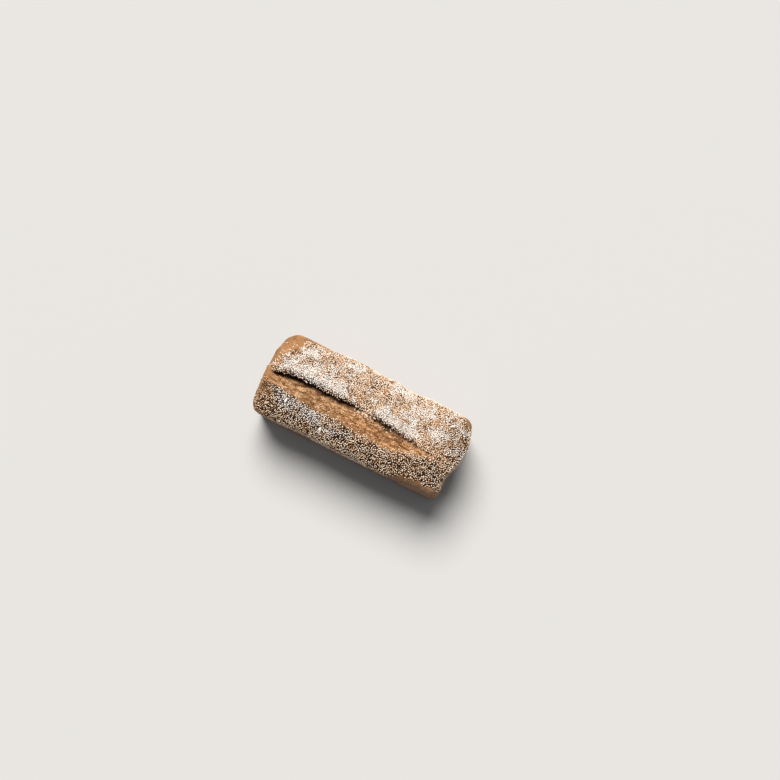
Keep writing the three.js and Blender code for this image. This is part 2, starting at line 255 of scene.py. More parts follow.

# Where the crust changes colour, and where shade, shadow and highlight are painted on it
DARK_SLIT_X = (-85.0, -100.0)  # between which the slit's painted shadow grows darker and wider towards the -X end
DARK_SLIT_WIDER = 0.1
SLIT_STRAY = ((0.14, (9.0, 30.0, 30.0), 48),)
SLIT_SHADOW_FADE = (0.64, 0.94)  # shares of the slash's width between which the slit's painted shadow sets in
RIDGE_X = (-40.0, 10.0)  # between which the floor grows more orange: partly toasted crumb, partly a painted highlight on the ridge that faces the light
RIDGE_FADE = (0.45, 0.8)  # shares of the slash's width between which that ends
SEEDED_FADE = (0.2, 0.7)  # shares of seeds between which the crust turns tan and dark, the dark partly painted shade between the seeds
SEEDED_Z = (50.0, 68.0)
# How much of the dark crust between the seeds, browning and painted shade, is laid on: less at the -X end
DARK_GAP_SHARE = {"values": (0.35, 1.0), "moves": (-121.0, -100.0)}
TIN_FADE = (-8.0, 6.0)  # heights from the shoulder between which the tin's crust ends
NEAR_TIN_RISE = 15.0  # how much higher it ends on the near side
NEAR_TIN_Y = (-30.0, -44.0)
LOW_HEIGHT = 12.0  # height of the browner strip above the base
CRUST_FLOUR = 0.55
CRUST_FLOUR_POWER = 2.4

# Colours. A ramp is a row of places from 0 to 1, each with its colour
FLOUR_WHITE = (0.91, 0.87, 0.815)
FLOUR_RAMP = ((0.3, (0.78, 0.74, 0.68)), (0.7, (0.88, 0.86, 0.82)))
GOLDEN_RAMP = ((0.38, (0.375, 0.2, 0.09)), (0.5, (0.268, 0.134, 0.056)), (0.62, (0.152, 0.068, 0.026)))
TIN_RAMP = ((0.36, (0.312, 0.197, 0.128)), (0.5, (0.228, 0.136, 0.086)), (0.64, (0.14, 0.078, 0.047)))
# Crust between the far lobe's seeds: tan, its dark end painted shade between the seeds
TAN_AND_SHADE_RAMP = ((0.42, (0.055, 0.025, 0.011)), (0.66, (0.25, 0.122, 0.05)))
# Near-black crust between the seeds where the top is darkest: mostly painted shade between them, with some
# browning
SHADED_GAP_RAMP = ((0.42, (0.013, 0.0055, 0.002)), (0.7, (0.05, 0.0225, 0.008)))
CRUMB_RAMP = ((0.42, (0.07, 0.03, 0.01)), (0.5, (0.236, 0.115, 0.045)), (0.58, (0.49, 0.3, 0.163)))
# The ridge's crumb: more orange, partly toasted and partly a painted highlight where it faces the light
RIDGE_RAMP = ((0.42, (0.095, 0.037, 0.012)), (0.5, (0.285, 0.126, 0.044)), (0.58, (0.53, 0.31, 0.16)))
# Painted shadow under the lip, in the slit and on the floor next to it
SLIT_SHADOW_RAMP = ((0.4, (0.045, 0.019, 0.007)), (0.62, (0.15, 0.07, 0.028)))
# The darkest painted shadow, at the slit's -X end
SLIT_START_SHADOW = (0.03, 0.013, 0.005)
BRAN_BROWN = (0.13, 0.062, 0.028)
# Painted shade in the torn crumb's pits
PIT_SHADE = (0.13, 0.055, 0.02)
# Painted shade in the walls' pores
PORE_SHADE = (0.1, 0.045, 0.02)
SPECK_TAN = (0.46, 0.3, 0.19)
KERNEL_TONES = ((0.52, 0.42, 0.33), (0.40, 0.29, 0.20), (0.20, 0.14, 0.10))  # pale, golden and brown
SESAME_TONES = ((0.95, 0.765, 0.6), (0.74, 0.5, 0.315), (0.3, 0.142, 0.052))
GOLDEN_PLACE = 0.55  # where the golden tone lies between pale, 0, and brown, 1

# The photograph's camera, which points beside the loaf's middle
CAMERA_PLACE = Vector((0.10179, -0.13220, 1.09426))
CAMERA_TURN = math.radians(26.754)
CAMERA_TILT = math.radians(10.602)
FOCAL_LENGTH = 50.0
SENSOR_WIDTH = 43.875

# The light and the floor
KEY_BEARING = math.radians(122.0)
KEY_HEIGHT = math.radians(54.0)
KEY_SPREAD = math.radians(38.0)
KEY_STRENGTH = 5.75
KEY_COLOUR = (1.0, 0.975, 0.945)
FILL_STRENGTH = 0.24
FILL_COLOUR = (0.93, 0.96, 1.0, 1.0)
FLOOR_HALF = 4.0  # metres
FLOOR_COLOUR = (0.47, 0.466, 0.458, 1.0)
FLOOR_ROUGHNESS = 0.9

rng = np.random.default_rng(20)
NOISE_TURN = np.array(Euler((0.6, 0.5, 0.4)).to_matrix())  # keeps its cells off the walls' directions
PLACE_PRIMES = np.array((73856093, 19349663, 83492791))  # these mix a place and a seed into a random number
SEED_PRIME = 982451653
MIXING_FACTOR = 1274126177


def fade(value, low, high):
    """0 before low, 1 past high and smooth between them, where low may be the greater."""
    t = np.clip((value - low) / (high - low), 0.0, 1.0)
    return t * t * (3.0 - 2.0 * t)


def blend(pair, share):
    """The first of a pair where share is 0, the second where it is 1."""
    return pair[0] + (pair[1] - pair[0]) * share


def bell(off, reach):
    """1 at a middle, falling to 0 past this reach on both sides of it."""
    return np.exp(-((off / reach) ** 2))


def along_loaf(setting, x):
    """A value that moves along the loaf, at x."""
    return blend(setting["values"], fade(x, *setting["moves"]))


def unit(vectors):
    """The vectors' directions."""
    return vectors / np.linalg.norm(vectors, axis=-1, keepdims=True)


def value_noise(points, width, seed):
    """Smooth noise from -1 to 1 over points, its features about this wide, or this wide on each axis."""
    scaled = points @ NOISE_TURN / width if np.isscalar(width) else points / np.array(width)
    cell = np.floor(scaled).astype(np.int64)
    part = scaled - cell
    part = part ** 3 * (part * (part * 6.0 - 15.0) + 10.0)
    total = np.zeros(points.shape[:-1])
    for corner in itertools.product((0, 1), repeat=3):
        weight = np.where(np.array(corner) == 1, part, 1.0 - part).prod(axis=-1)
        total += weight * lattice_value(cell + np.array(corner), seed)
    return total


def lattice_value(cell, seed):
    """A fixed random number from -1 to 1 for each whole-number place."""
    mixed = (cell * PLACE_PRIMES).sum(axis=-1) + seed * SEED_PRIME
    mixed = ((mixed ^ (mixed >> 13)) & 0xFFFFFFFF) * MIXING_FACTOR
    mixed = (mixed ^ (mixed >> 16)) & 0xFFFF
    return mixed / 32767.5 - 1.0


def layered(points, layers):
    """The sum of several layers of noise over points."""
    return sum(height * value_noise(points, width, seed) for height, width, seed in layers)


def noise_mask(points, width, seed, low, high):
    """1 where one noise is past high, 0 where it is under low."""
    return fade(value_noise(points, width, seed), low, high)


# The form


def rounding(x, radius):
    """How far a corner's rounding takes in the outline at x."""
    past = np.maximum(0.0, np.abs(x) - HALF_LENGTH + radius)
    return radius - np.sqrt(np.maximum(0.0, radius ** 2 - past ** 2))


def tin_half_width(x):
    """Half width of the tin at x, with its corners rounded."""
    u = x / HALF_LENGTH
    return HALF_WIDTH * (1 + SIDE_BOW * (1 - u * u) - END_TAPER * u) - rounding(x, CORNER_RADIUS)


def top_half_width(x, y):
    """Half width of the top at x on the side of y, with its rounder corners and dents."""
    half = tin_half_width(x)
    for corner in ROUND_CORNERS:
        here = (corner["end"] * x > 0) & (corner["side"] * y > 0)
        half = half - np.where(here, rounding(x, corner["radius"]) - rounding(x, CORNER_RADIUS), 0.0)
    for dent in DENTS:
        depth = dent["depth"] * bell(x - dent["x"], dent["reach"])
        half = half - np.where(dent["side"] * y > 0, depth, 0.0)
    return half


def end_shift(x, y):
    """How far along X the ends' swelling moves the top at x and y."""
    shift = 0.0
    for bow in END_BOWS:
        off = np.minimum(1.0, np.abs(y - bow["y"]) / bow["reach"])
        across = 0.5 + 0.5 * np.cos(np.pi * off)
        along = fade(bow["end"] * x / HALF_LENGTH, BOW_START, 1.0)
        shift = shift + bow["end"] * bow["swell"] * across * along
    return shift


def slash_reach(x):
    """0 at the middle of the slash, 1 at its ends and past them."""
    return np.minimum(1.0, np.abs(x - SLASH_CENTRE_X) / SLASH_HALF_LENGTH)


def slash_tail(x):
    """0 along most of the slash, 1 where it has died away at the +X end."""
    return fade(x, *SLASH_TAIL["x"])


def slash_width(x):
    """Width of the slash at x."""
    tail = 1 - SLASH_TAIL["narrowed"] * slash_tail(x)
    return SLASH_WIDTH * tail * np.sqrt(np.maximum(LEAST_OPENING, 1 - slash_reach(x) ** WIDTH_POWER))


def slash_depth(x):
    """Depth of the slash at x, next to its lip."""
    start = fade(x, *SLASH_START)
    faded = 1 - SLASH_FADE * fade(x, -HALF_LENGTH, HALF_LENGTH)
    tail = 1 - SLASH_TAIL["raised"] * slash_tail(x)
    bridged = 1 - SLASH_BRIDGE["share"] * bridge(x)
    return SLASH_DEPTH * start * faded * tail * bridged * np.sqrt(1 - slash_reach(x) ** DEPTH_POWER)


def slash_opened(x):
    """1 where the slash is deep enough to be open, 0 where it is closed."""
    return fade(slash_depth(x), *OPEN_DEPTH)


def bridge(x):
    """1 where the slash is almost closed, falling to 0 beside it."""
    return bell(x - SLASH_BRIDGE["x"], SLASH_BRIDGE["reach"])


def lip_line(x):
    """Where the slash's lip lies across the loaf."""
    hook = LIP_HOOK["y"] * fade(x, *LIP_HOOK["x"])
    return LIP_Y - (x - LIP_PEAK_X) ** 2 / (2 * LIP_BEND_RADIUS) - hook


def near_edge(x):
    """Where the slash's near edge lies across the loaf."""
    return lip_line(x) - slash_width(x)


def crown(u, v):
    """Height of the top above the shoulder, without the slash."""
    across = np.maximum(0.0, 1 - np.abs(v) ** CROWN_POWER) ** (1 / CROWN_POWER)
    along = np.maximum(0.0, 1 - np.abs(u) ** END_POWER) ** (1 / END_ROOT)
    droop = 1 - DROOP["share"] * fade(-u, *DROOP["along"]) * fade(v, *DROOP["across"])
    swell = 0.0
    for wave in SWELLS:
        x = u * HALF_LENGTH / wave["along"] + wave["start"]
        y = v * HALF_WIDTH / wave["across"] + wave["start"]
        swell = swell + wave["height"] * np.sin(x) * np.cos(y)
    return (CROWN * droop + swell) * across * along


def crust_point(x, y, lip):
    """The point of the top crust at x along the loaf and y across it, for a lip line."""
    v = np.clip(y / top_half_width(x, y), -1.0, 1.0)
    depth = slash_depth(x)
    behind = y - lip
    share = -behind / slash_width(x)
    near = np.maximum(0.0, 1 - np.maximum(behind, 0.0) / LIP_BACK) ** 2
    lifted = np.where(behind >= 0, near * depth / SLASH_DEPTH, 0.0)
    drop = depth * np.clip(share / SLIT_SHARE, 0.0, 1.0) * np.clip(1 - share, 0.0, 1.0) ** FLOOR_POWER
    z = SHOULDER_Z + crown(x / HALF_LENGTH, v) + LIP_LIFT * lifted - drop
    lean = LIP_OVERHANG * SLASH_DEPTH * lifted
    return np.stack(np.broadcast_arrays(x + end_shift(x, y), y - lean, z), axis=-1)


def wall_point(x, y, z):
    """The wall's point at height z under a point of the top's outline."""
    under = np.maximum(0.0, BASE_EDGE_RADIUS - z)
    edge = BASE_EDGE_RADIUS - np.sqrt(BASE_EDGE_RADIUS ** 2 - under ** 2)
    in_tin = fade(SHOULDER_Z - z, 0.0, BULGE_DEPTH)
    inset = SHOULDER_BULGE * in_tin + WALL_DRAFT * (SHOULDER_Z - z) + edge
    tin_y = y * tin_half_width(x) / top_half_width(x, y)
    out_x = (x + (1 - in_tin) * end_shift(x, y)) * (1 - inset / HALF_LENGTH)
    out_y = blend((y, tin_y), in_tin) * (1 - inset / HALF_WIDTH)
    return np.stack(np.broadcast_arrays(out_x, out_y, z), axis=-1)


# The crust's mesh


def eased(count):
    """Steps from 0 to 1 that gather towards 1, as a quarter circle's do."""
    return np.sin(np.linspace(0.0, np.pi / 2, count + 1))


def column_places():
    """Where the top's columns lie along the loaf: even, then along each corner's arc."""
    widest = max(corner["radius"] for corner in ROUND_CORNERS)
    straight = HALF_LENGTH - widest
    corner = straight + widest * eased(CORNER_STEPS)
    side = np.linspace(-straight, straight, SIDE_STEPS + 1)[1:-1]
    return np.concatenate((-corner[::-1], side, corner))


def ragged_lip(x):
    """The lip line with its torn edge's small bays."""
    line = np.stack((x, np.zeros_like(x), np.zeros_like(x)), axis=-1)
    return lip_line(x) + LIP_RAGGED * layered(line, LIP_BAYS) * fade(slash_depth(x), *RAGGED_DEPTH)


class Crust:
    """The crust's mesh in millimetres: a grid of columns and rows on top, rings down the walls, a base."""

    def __init__(self):
        x, y, top, torn, slit = top_grid()
        grid = np.arange(x.size).reshape(x.shape)
        outline = outline_of(grid)
        walls = wall_rings(x.reshape(-1)[outline], y.reshape(-1)[outline])
        self.middle = middle_of(top, walls)
        top, walls = roughened(top, walls, torn)
        base = np.stack([walls[-1] * (share, share, 0.0) for share in BASE_RINGS])

        points = (top, walls, base, np.zeros((1, 3)))
        self.vertices = np.concatenate([p.reshape(-1, 3) for p in points])
        unopened = np.zeros(len(self.vertices) - x.size)
        self.torn = np.concatenate((torn.reshape(-1), unopened))
        self.slit = np.concatenate((slit.reshape(-1), unopened))

        top_quads = np.stack((grid[:-1, :-1], grid[1:, :-1], grid[1:, 1:], grid[:-1, 1:]), axis=-1)
        lower = x.size + np.arange(walls[..., 0].size + base[..., 0].size).reshape(-1, len(outline))
        rings = np.concatenate((outline[None], lower))
        after = np.roll(rings, -1, axis=1)
        wall_quads = np.stack((rings[1:], after[1:], after[:-1], rings[:-1]), axis=-1)
        self.quads = np.concatenate((top_quads.reshape(-1, 4), wall_quads.reshape(-1, 4)))
        last = len(self.vertices) - 1
        self.base_fan = [(last, b, a) for a, b in zip(rings[-1].tolist(), after[-1].tolist())]


def top_grid():
    """The top's places along and across the loaf, its points, how torn each is and how near the slit."""
    x = column_places()[:, None]
    lip = ragged_lip(x)
    edge = near_edge(x)

    rim_y = edge - eased(RIM_ROWS)[::-1] * (top_half_width(x, -1.0) + edge)
    to_lip = np.linspace(1.0, SLIT_SHARE, FLOOR_ROWS + 1)[1:]
    floor_y = lip - to_lip * (lip - edge)
    rise = np.linspace(0.0, 1.0, SLIT_ROWS + 2)[1:-1]
    slit_y = lip - (1 - rise) * SLIT_SHARE * (lip - edge)
    lobe_y = lip + eased(LOBE_ROWS) * (top_half_width(x, 1.0) - lip)
    y = np.hstack((rim_y, floor_y, slit_y, lobe_y))

    floor = crust_point(x, floor_y, lip)
    lobe = crust_point(x, lobe_y, lip)
    roll = np.maximum(0.0, 1 - (lobe_y - lip) / LIP_ROLL) ** 2
    lobe[..., 2] -= LIP_ROLL * roll * slash_opened(x)
    slit_wall = blend((floor[:, -1:], lobe[:, :1]), rise[:, None])
    slit_wall[..., 1] += LIP_UNDERCUT * slash_depth(x) / SLASH_DEPTH * np.sin(np.pi * rise)
    top = np.hstack((crust_point(x, rim_y, lip), floor, slit_wall, lobe))

    whole = np.zeros_like(rim_y), np.zeros_like(lobe_y)
    open_share = fade(1 - slash_reach(x), 0.0, TORN_ENDS)
    under_lip = 1 - fade(rise, *UNDER_LIP)
    torn_floor = fade(1 - to_lip, 0.0, TORN_EDGE) * open_share
    torn = np.hstack((whole[0], torn_floor, open_share * under_lip, whole[1]))
    every_column = np.ones_like(x)
    slit = np.hstack((whole[0], (1 - to_lip) * every_column, under_lip * every_column, whole[1]))
    return np.repeat(x, y.shape[1], axis=1), y, top, torn, slit


def outline_of(grid):
    """The border of a grid of columns and rows, anticlockwise seen from above."""
    return np.concatenate((grid[:, 0], grid[-1, 1:], grid[::-1, -1][1:], grid[0, 1:-1][::-1]))


def wall_rings(x, y):
    """Rings of points down the walls, from just under the shoulder to the base."""
    straight = np.linspace(SHOULDER_Z, BASE_EDGE_RADIUS, WALL_ROWS + 1)[1:]
    rounded = BASE_EDGE_RADIUS * (1 - eased(EDGE_ROWS)[1:])
    return wall_point(x, y, np.concatenate((straight, rounded))[:, None])


def middle_of(top, walls):
    """The middle of the smooth form's box on the base's plane. The solid has it at the origin."""
    points = np.concatenate((top.reshape(-1, 3), walls.reshape(-1, 3)))
    return (points.min(axis=0) + points.max(axis=0)) / 2 * (1, 1, 0)


def roughened(top, walls, torn):
    """The top and the walls, moved outwards by the crust's fine relief."""
    normal = unit(np.cross(np.gradient(top, axis=0), np.gradient(top, axis=1)))
    rim = fade(SHOULDER_Z + RIM_HEIGHT - top[..., 2:], 0.0, RIM_HEIGHT)
    top = top + relief(top, torn)[..., None] * blend((normal, outward(top)), rim)
    return top, walls + relief(walls, 0.0)[..., None] * outward(walls)


def outward(points):
    """The level direction away from the loaf's middle, square to the walls and even at corners."""
    half = np.array((HALF_LENGTH, HALF_WIDTH))
    share = points[..., :2] / half
    level = unit(np.sign(share) * np.abs(share) ** OUTWARD_POWER / half)
    return np.concatenate((level, np.zeros_like(level[..., :1])), axis=-1)


def relief(points, torn):
    """Fine height of the crust: bumpy on top, crumbly where torn, creased and pored on the walls."""
    z = points[..., 2]
    wall = 1 - fade(z - SHOULDER_Z, *WALL_FADE)
    top = blend((layered(points, TOP_BUMPS), crumb_relief(points)), torn)
    return blend((top, tin_relief(points)), wall) * fade(z, 0.0, FOOT_HEIGHT)


def crumb_relief(points):
    """Fine height of the torn crumb: ridges, pits and bumps."""
    off_ridge = np.abs(value_noise(points, *CRUMB_RIDGES["noise"]))
    ridges = CRUMB_RIDGES["height"] * (CRUMB_RIDGES["level"] - off_ridge)
    return ridges - PIT_DEPTH * crumb_pits(points) + layered(points, CRUMB_BUMPS)


def tin_relief(points):
    """Fine height of the walls: slow waves, pores and a few creases."""
    off_crease = np.abs(value_noise(points, *CREASES["noise"]))
    creases = fade(off_crease, CREASES["reach"], 0.0) * noise_mask(points, *CREASED_PARTS)
    return layered(points, TIN_WAVES) - PORE_DEPTH * wall_pores(points) - CREASES["depth"] * creases


def wall_pores(points):
    """1 in the small pores that the tin left in the walls, 0 between them."""
    return noise_mask(points, *PORES) * noise_mask(points, *PORED_PARTS)


def crumb_pits(points):
    """1 in the small pits of the torn crumb, 0 between them."""
    return fade(layered(points, PIT_LAYERS), *PIT_FADE)


# Meshes, attributes and materials


def add_object(name, data):
    """A new object in the scene."""
    added = bpy.data.objects.new(name, data)
    bpy.context.scene.collection.objects.link(added)
    return added


def add_piece(name, vertices, faces, values, material):
    """A piece of the loaf from millimetre points, with named values on its points."""
    mesh = bpy.data.meshes.new(name)
    mesh.from_pydata((vertices * MM).tolist(), [], faces)
    for key, value in values.items():
        mesh.attributes.new(key, "FLOAT", "POINT").data.foreach_set("value", value.astype(np.float32))
    mesh.shade_smooth()
    mesh.materials.append(material)
    piece = add_object(name, mesh)
    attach(piece, "root")
    return piece


class Nodes:
    """A material's node tree, with short ways to add nodes."""

    def __init__(self, name, roughness, specular):
        self.material = bpy.data.materials.new(name)
        self.material.use_nodes = True
        self.tree = self.material.node_tree
        self.shader = self.tree.nodes["Principled BSDF"]
        self.fill(self.shader, {"Roughness": roughness, "Specular IOR Level": specular})
        self.place = self.add("ShaderNodeTexCoord", {}).outputs["Object"]

    def fill(self, node, sockets):
        """Puts numbers and colours on a node's sockets, or links outputs to them."""
        for socket in node.inputs:
            value = sockets.get(socket.identifier)
            if isinstance(value, float):
                socket.default_value = value
            elif isinstance(value, tuple):
                socket.default_value = (*value, 1.0)[:len(socket.default_value)]
            elif value is not None:
                self.tree.links.new(value, socket)

    def add(self, kind, sockets, **settings):
        """A new node of a kind, with its settings and what goes into its sockets."""
        node = self.tree.nodes.new(kind)
        for name, value in settings.items():
            setattr(node, name, value)
        self.fill(node, sockets)
        return node

    def attribute(self, name):
        """The value of this name on the mesh's points."""
        return self.add("ShaderNodeAttribute", {}, attribute_name=name).outputs["Fac"]

    def noise(self, width, detail=3.0, stretch=(1.0, 1.0, 1.0)):
        """Noise from 0 to 1 with features of about this width in millimetres."""
        mapping = self.add("ShaderNodeMapping", {"Vector": self.place, "Scale": stretch})
        sockets = {"Vector": mapping.outputs["Vector"], "Scale": 1 / (width * MM), "Detail": detail}
        return self.add("ShaderNodeTexNoise", sockets).outputs["Fac"]

    def ramp(self, source, stops):
        """A colour for each value of source, by a ramp."""
        node = self.add("ShaderNodeValToRGB", {"Fac": source})
        elements = node.color_ramp.elements
        while len(elements) < len(stops):
            elements.new(0.5)
        for element, (place, colour) in zip(elements, stops):
            element.position = place
            element.color = (*colour, 1.0)
        return node.outputs["Color"]

    def band(self, source, low, high):
        """0 where source is under low, 1 where it is over high."""
        sockets = {"Value": source, "From Min": low, "From Max": high}
        return self.add("ShaderNodeMapRange", sockets, interpolation_type="SMOOTHSTEP").outputs["Result"]

    def mix(self, first, second, share):
        """The first colour, with a share of the second over it."""
        sockets = {"Factor_Float": share, "A_Color": first, "B_Color": second}
        node = self.add("ShaderNodeMix", sockets, data_type="RGBA")
        return next(s for s in node.outputs if s.identifier == "Result_Color")

    def tint(self, colour, over, where, share):
        """A colour, with a share of another over it where a value is 1 and less where it is less."""
        node = self.add("ShaderNodeMath", {"Value": where, "Value_001": share}, operation="MULTIPLY")
        return self.mix(colour, over, node.outputs["Value"])

    def dust(self, colour, width, detail, low, high):
        """Colours the surface, with flour over it in specks of this width."""
        specks = self.band(self.noise(width, detail), low, high)
        floured = self.tint(colour, FLOUR_WHITE, self.attribute("flour"), specks)
        self.fill(self.shader, {"Base Color": floured})

    def bump(self, height, distance):
        """Fine bumps of the surface, up to distance millimetres high."""
        node = self.add("ShaderNodeBump", {"Height": height, "Distance": distance * MM})
        self.fill(self.shader, {"Normal": node.outputs["Normal"]})


def tin_colour(nodes, fine):
    """Dull crust that met the tin: blotched, speckled, darker near the base, with painted shade in its
    pores.
    """
    blotches = nodes.mix(nodes.noise(width=38.0, detail=2.0), nodes.noise(width=2.6, detail=5.0), share=0.6)
    tin = nodes.ramp(blotches, TIN_RAMP)
    tin = nodes.tint(tin, SPECK_TAN, nodes.band(fine, low=0.56, high=0.64), share=0.4)
    # Painted shade in the pores
    tin = nodes.tint(tin, PORE_SHADE, nodes.attribute("pore"), share=0.7)
    return nodes.tint(tin, BRAN_BROWN, nodes.attribute("low"), share=0.5)


def crumb_colour(nodes):
    """Torn crumb, its grain drawn out along the slash, more orange on the ridge: partly toasted, partly a
    painted highlight.
    """
    short_grain = nodes.noise(width=1.2, stretch=(0.8, 1.0, 1.0))
    long_grain = nodes.noise(width=3.0, stretch=(0.3, 1.0, 1.0))
    grain = nodes.mix(short_grain, long_grain, share=0.45)
    return nodes.mix(nodes.ramp(grain, CRUMB_RAMP), nodes.ramp(grain, RIDGE_RAMP), nodes.attribute("ridge"))


def crust_material():
    """Baked crust: dull from the tin, golden above it, tan and dark between the seeds, torn in the slash.
    It has painted shade between the seeds and in its pits and pores, a painted shadow in the slit and a
    painted highlight on the slash's ridge.
    """
    nodes = Nodes("whole_wheat_crust", roughness=0.8, specular=0.12)
    fine = nodes.noise(width=1.3, detail=4.0)
    golden = nodes.ramp(nodes.mix(nodes.noise(width=14.0), fine, share=0.62), GOLDEN_RAMP)
    colour = nodes.mix(golden, tin_colour(nodes, fine), nodes.attribute("wall"))
    patches = nodes.noise(width=8.0)
    # Crust between the seeds: tan, turning near-black where the top is darkest, as painted shade between
    # the seeds
    tan_and_shade = nodes.ramp(patches, TAN_AND_SHADE_RAMP)
    brown = nodes.mix(tan_and_shade, nodes.ramp(patches, SHADED_GAP_RAMP), nodes.attribute("baked_and_shaded"))
    colour = nodes.mix(colour, brown, nodes.attribute("seeded"))
    colour = nodes.mix(colour, crumb_colour(nodes), nodes.attribute("torn"))
    # Painted shade in the crumb's pits
    colour = nodes.tint(colour, PIT_SHADE, nodes.attribute("pit"), share=0.65)
    bran = nodes.band(nodes.noise(width=1.1, detail=2.0), low=0.6, high=0.68)
    colour = nodes.tint(colour, BRAN_BROWN, bran, share=0.55)
    # Painted shadow in the slit under the lip, darkest at the -X end
    slit_shadow_colour = nodes.ramp(nodes.noise(width=3.0), SLIT_SHADOW_RAMP)
    slit_shadow_colour = nodes.mix(slit_shadow_colour, SLIT_START_SHADOW, nodes.attribute("start"))
    colour = nodes.mix(colour, slit_shadow_colour, nodes.attribute("slit_shadow"))
    nodes.dust(colour, width=1.3, detail=4.0, low=0.42, high=0.62)
    bumps = nodes.mix(nodes.noise(width=0.9, detail=4.0), nodes.noise(width=2.2, detail=2.0), share=0.5)
    nodes.bump(bumps, distance=0.35)
    return nodes.material


def seed_material(name, tones):
    """A hulled seed: its tone runs from pale to brown, darker at the tip, with flour on some."""
    pale, golden, brown = tones
    nodes = Nodes(name, roughness=0.55, specular=0.22)
    colour = nodes.ramp(nodes.attribute("tone"), ((0.0, pale), (GOLDEN_PLACE, golden), (1.0, brown)))
    tip = nodes.band(nodes.attribute("along"), low=0.6, high=1.0)
    colour = nodes.tint(colour, brown, tip, share=0.4)
    mottle = nodes.band(nodes.noise(width=0.8, detail=2.0), low=0.45, high=0.7)
    colour = nodes.tint(colour, golden, mottle, share=0.2)
    nodes.dust(colour, width=0.7, detail=3.0, low=0.3, high=0.5)
    nodes.bump(nodes.noise(width=0.5, detail=2.0), distance=0.04)
    return nodes.material


def flour_material():
    """Dry flour, a little uneven in tone."""
    nodes = Nodes("flour", roughness=0.95, specular=0.1)
    nodes.fill(nodes.shader, {"Base Color": nodes.ramp(nodes.noise(width=0.6), FLOUR_RAMP)})
    return nodes.material


# Seeds and flour


def teardrop(sides, stations, blunt=1.12, taper=0.62):
    """Points and faces of a seed one unit long, its tip at +X, and how far along each point is."""
    along = -0.5 * np.cos(np.linspace(0.0, np.pi, stations + 2)[1:-1])
    radius = np.sqrt(0.25 - along ** 2) * (blunt - taper * (along + 0.5))
    angle = np.linspace(0.0, 2 * np.pi, sides, endpoint=False)
    points = [(-0.5, 0.0, 0.0)]
    for place, reach in zip(along, radius):
        points.extend(zip(np.full(sides, place), reach * np.cos(angle), reach * np.sin(angle)))
    points = np.array(points + [(0.5, 0.0, 0.0)])
    faces = []
    tip = len(points) - 1
    for k in range(sides):
        after = (k + 1) % sides
        faces.append((0, 1 + after, 1 + k))
        for ring in range(stations - 1):
            low = 1 + ring * sides
            faces.append((low + k, low + after, low + sides + after, low + sides + k))
        last = 1 + (stations - 1) * sides
        faces.append((last + k, last + after, tip))
    return points, faces, points[:, 0] + 0.5


KERNEL_FORM = teardrop(sides=12, stations=9)
SESAME_FORM = teardrop(sides=6, stations=4)
GRAIN_FORM = teardrop(sides=4, stations=1)


def seed_axes(normals, turns, tilt):
    """Each seed's own axes on a crust with these normals, turned and tipped a little."""
    up = unit(normals + rng.normal(0.0, 1.0, normals.shape) * tilt[:, None])
    heading = np.column_stack((np.cos(turns), np.sin(turns), np.zeros_like(turns)))
    side = unit(np.cross(up, heading))
    return np.stack((np.cross(side, up), side, up), axis=-1)


def add_seeds(name, form, places, sizes, tones, flour, material):
    """One piece of many seeds: each point of the form sized, turned and moved to its place."""
    points, faces, along = form
    spots, axes = places
    seeds = np.einsum("nij,nkj->nki", axes, points[None] * sizes[:, None]) + spots[:, None]
    every = [tuple(len(points) * n + k for k in face) for n in range(len(spots)) for face in faces]
    values = {
        "tone": np.repeat(tones, len(points)),
        "flour": np.repeat(flour, len(points)),
        "along": np.tile(along, len(spots)),
    }
    add_piece(name, seeds.reshape(-1, 3), every, values, material)


def flour_at(spots):
    """How floured the top is at spots, from 0 to 1, in ragged patches."""
    x, y, z = spots.T
    far_side = fade(y, *FAR_SIDE_Y)
    amount = blend(FLOUR_OVERALL, far_side)
    on_lip = bell(y - lip_line(x) - FLOUR_LIP["behind"], FLOUR_LIP["reach"]) * far_side
    for start, end in FLOUR_LIP["stretches"]:
        ease = FLOUR_LIP["ease"]
        along = fade(x, start - ease, start) * fade(x, end + ease, end)
        amount = np.maximum(amount, FLOUR_LIP["amount"] * on_lip * along)
    for middle_x, middle_y, along, across in FLOUR_PATCHES:
        off = ((x - middle_x) / along) ** 2 + ((y - middle_y) / across) ** 2
        amount = np.maximum(amount, blend(PATCH_AMOUNT, far_side) * np.exp(-PATCH_FALL * off))
    return fade(amount + layered(spots, FLOUR_WAVES), *FLOUR_FADE) * fade(z, *FLOUR_Z)


def seeded_share(spots, torn, slit):
    """How likely a seed is at spots: all over the top, thinning past ragged limits and into the slash."""
    x = spots[:, 0] + layered(spots, SEED_STRAY_X)
    y = spots[:, 1] + layered(spots, SEED_STRAY_Y)
    z = spots[:, 2]
    lowest = along_loaf(SEED_LOWEST_Z, x) + layered(spots * (1, 1, 0), SEED_STRAY_Z)
    share = fade(y - along_loaf(SEED_NEAR_Y, x), *SEED_NEAR_Y["fade"])
    share *= fade(along_loaf(SEED_FAR_Y, x) - y, *SEED_FAR_Y["fade"])
    share *= fade(z - lowest, *SEED_LOWEST_Z["fade"])
    share *= fade(x - SEED_END_X, *SEED_END_FADE)
    for corner in BARE_CORNERS:
        off_x = np.abs(x - corner["place"][0]) / corner["reach"][0]
        off_y = np.abs(y - corner["place"][1]) / corner["reach"][1]
        share *= fade(off_x ** BARE_POWER + off_y ** BARE_POWER, *BARE_FADE)
    share *= 1 - SPARSE_THINNED * noise_mask(spots, *SPARSE_PARTS)
    share *= 1 - START_THINNED * fade(x, *START_X)
    share = np.maximum(share, STRAY_SHARE * fade(z - SHOULDER_Z, *STRAY_RISE))
    return np.where(torn > 0, share * floor_share(spots, slit), share)


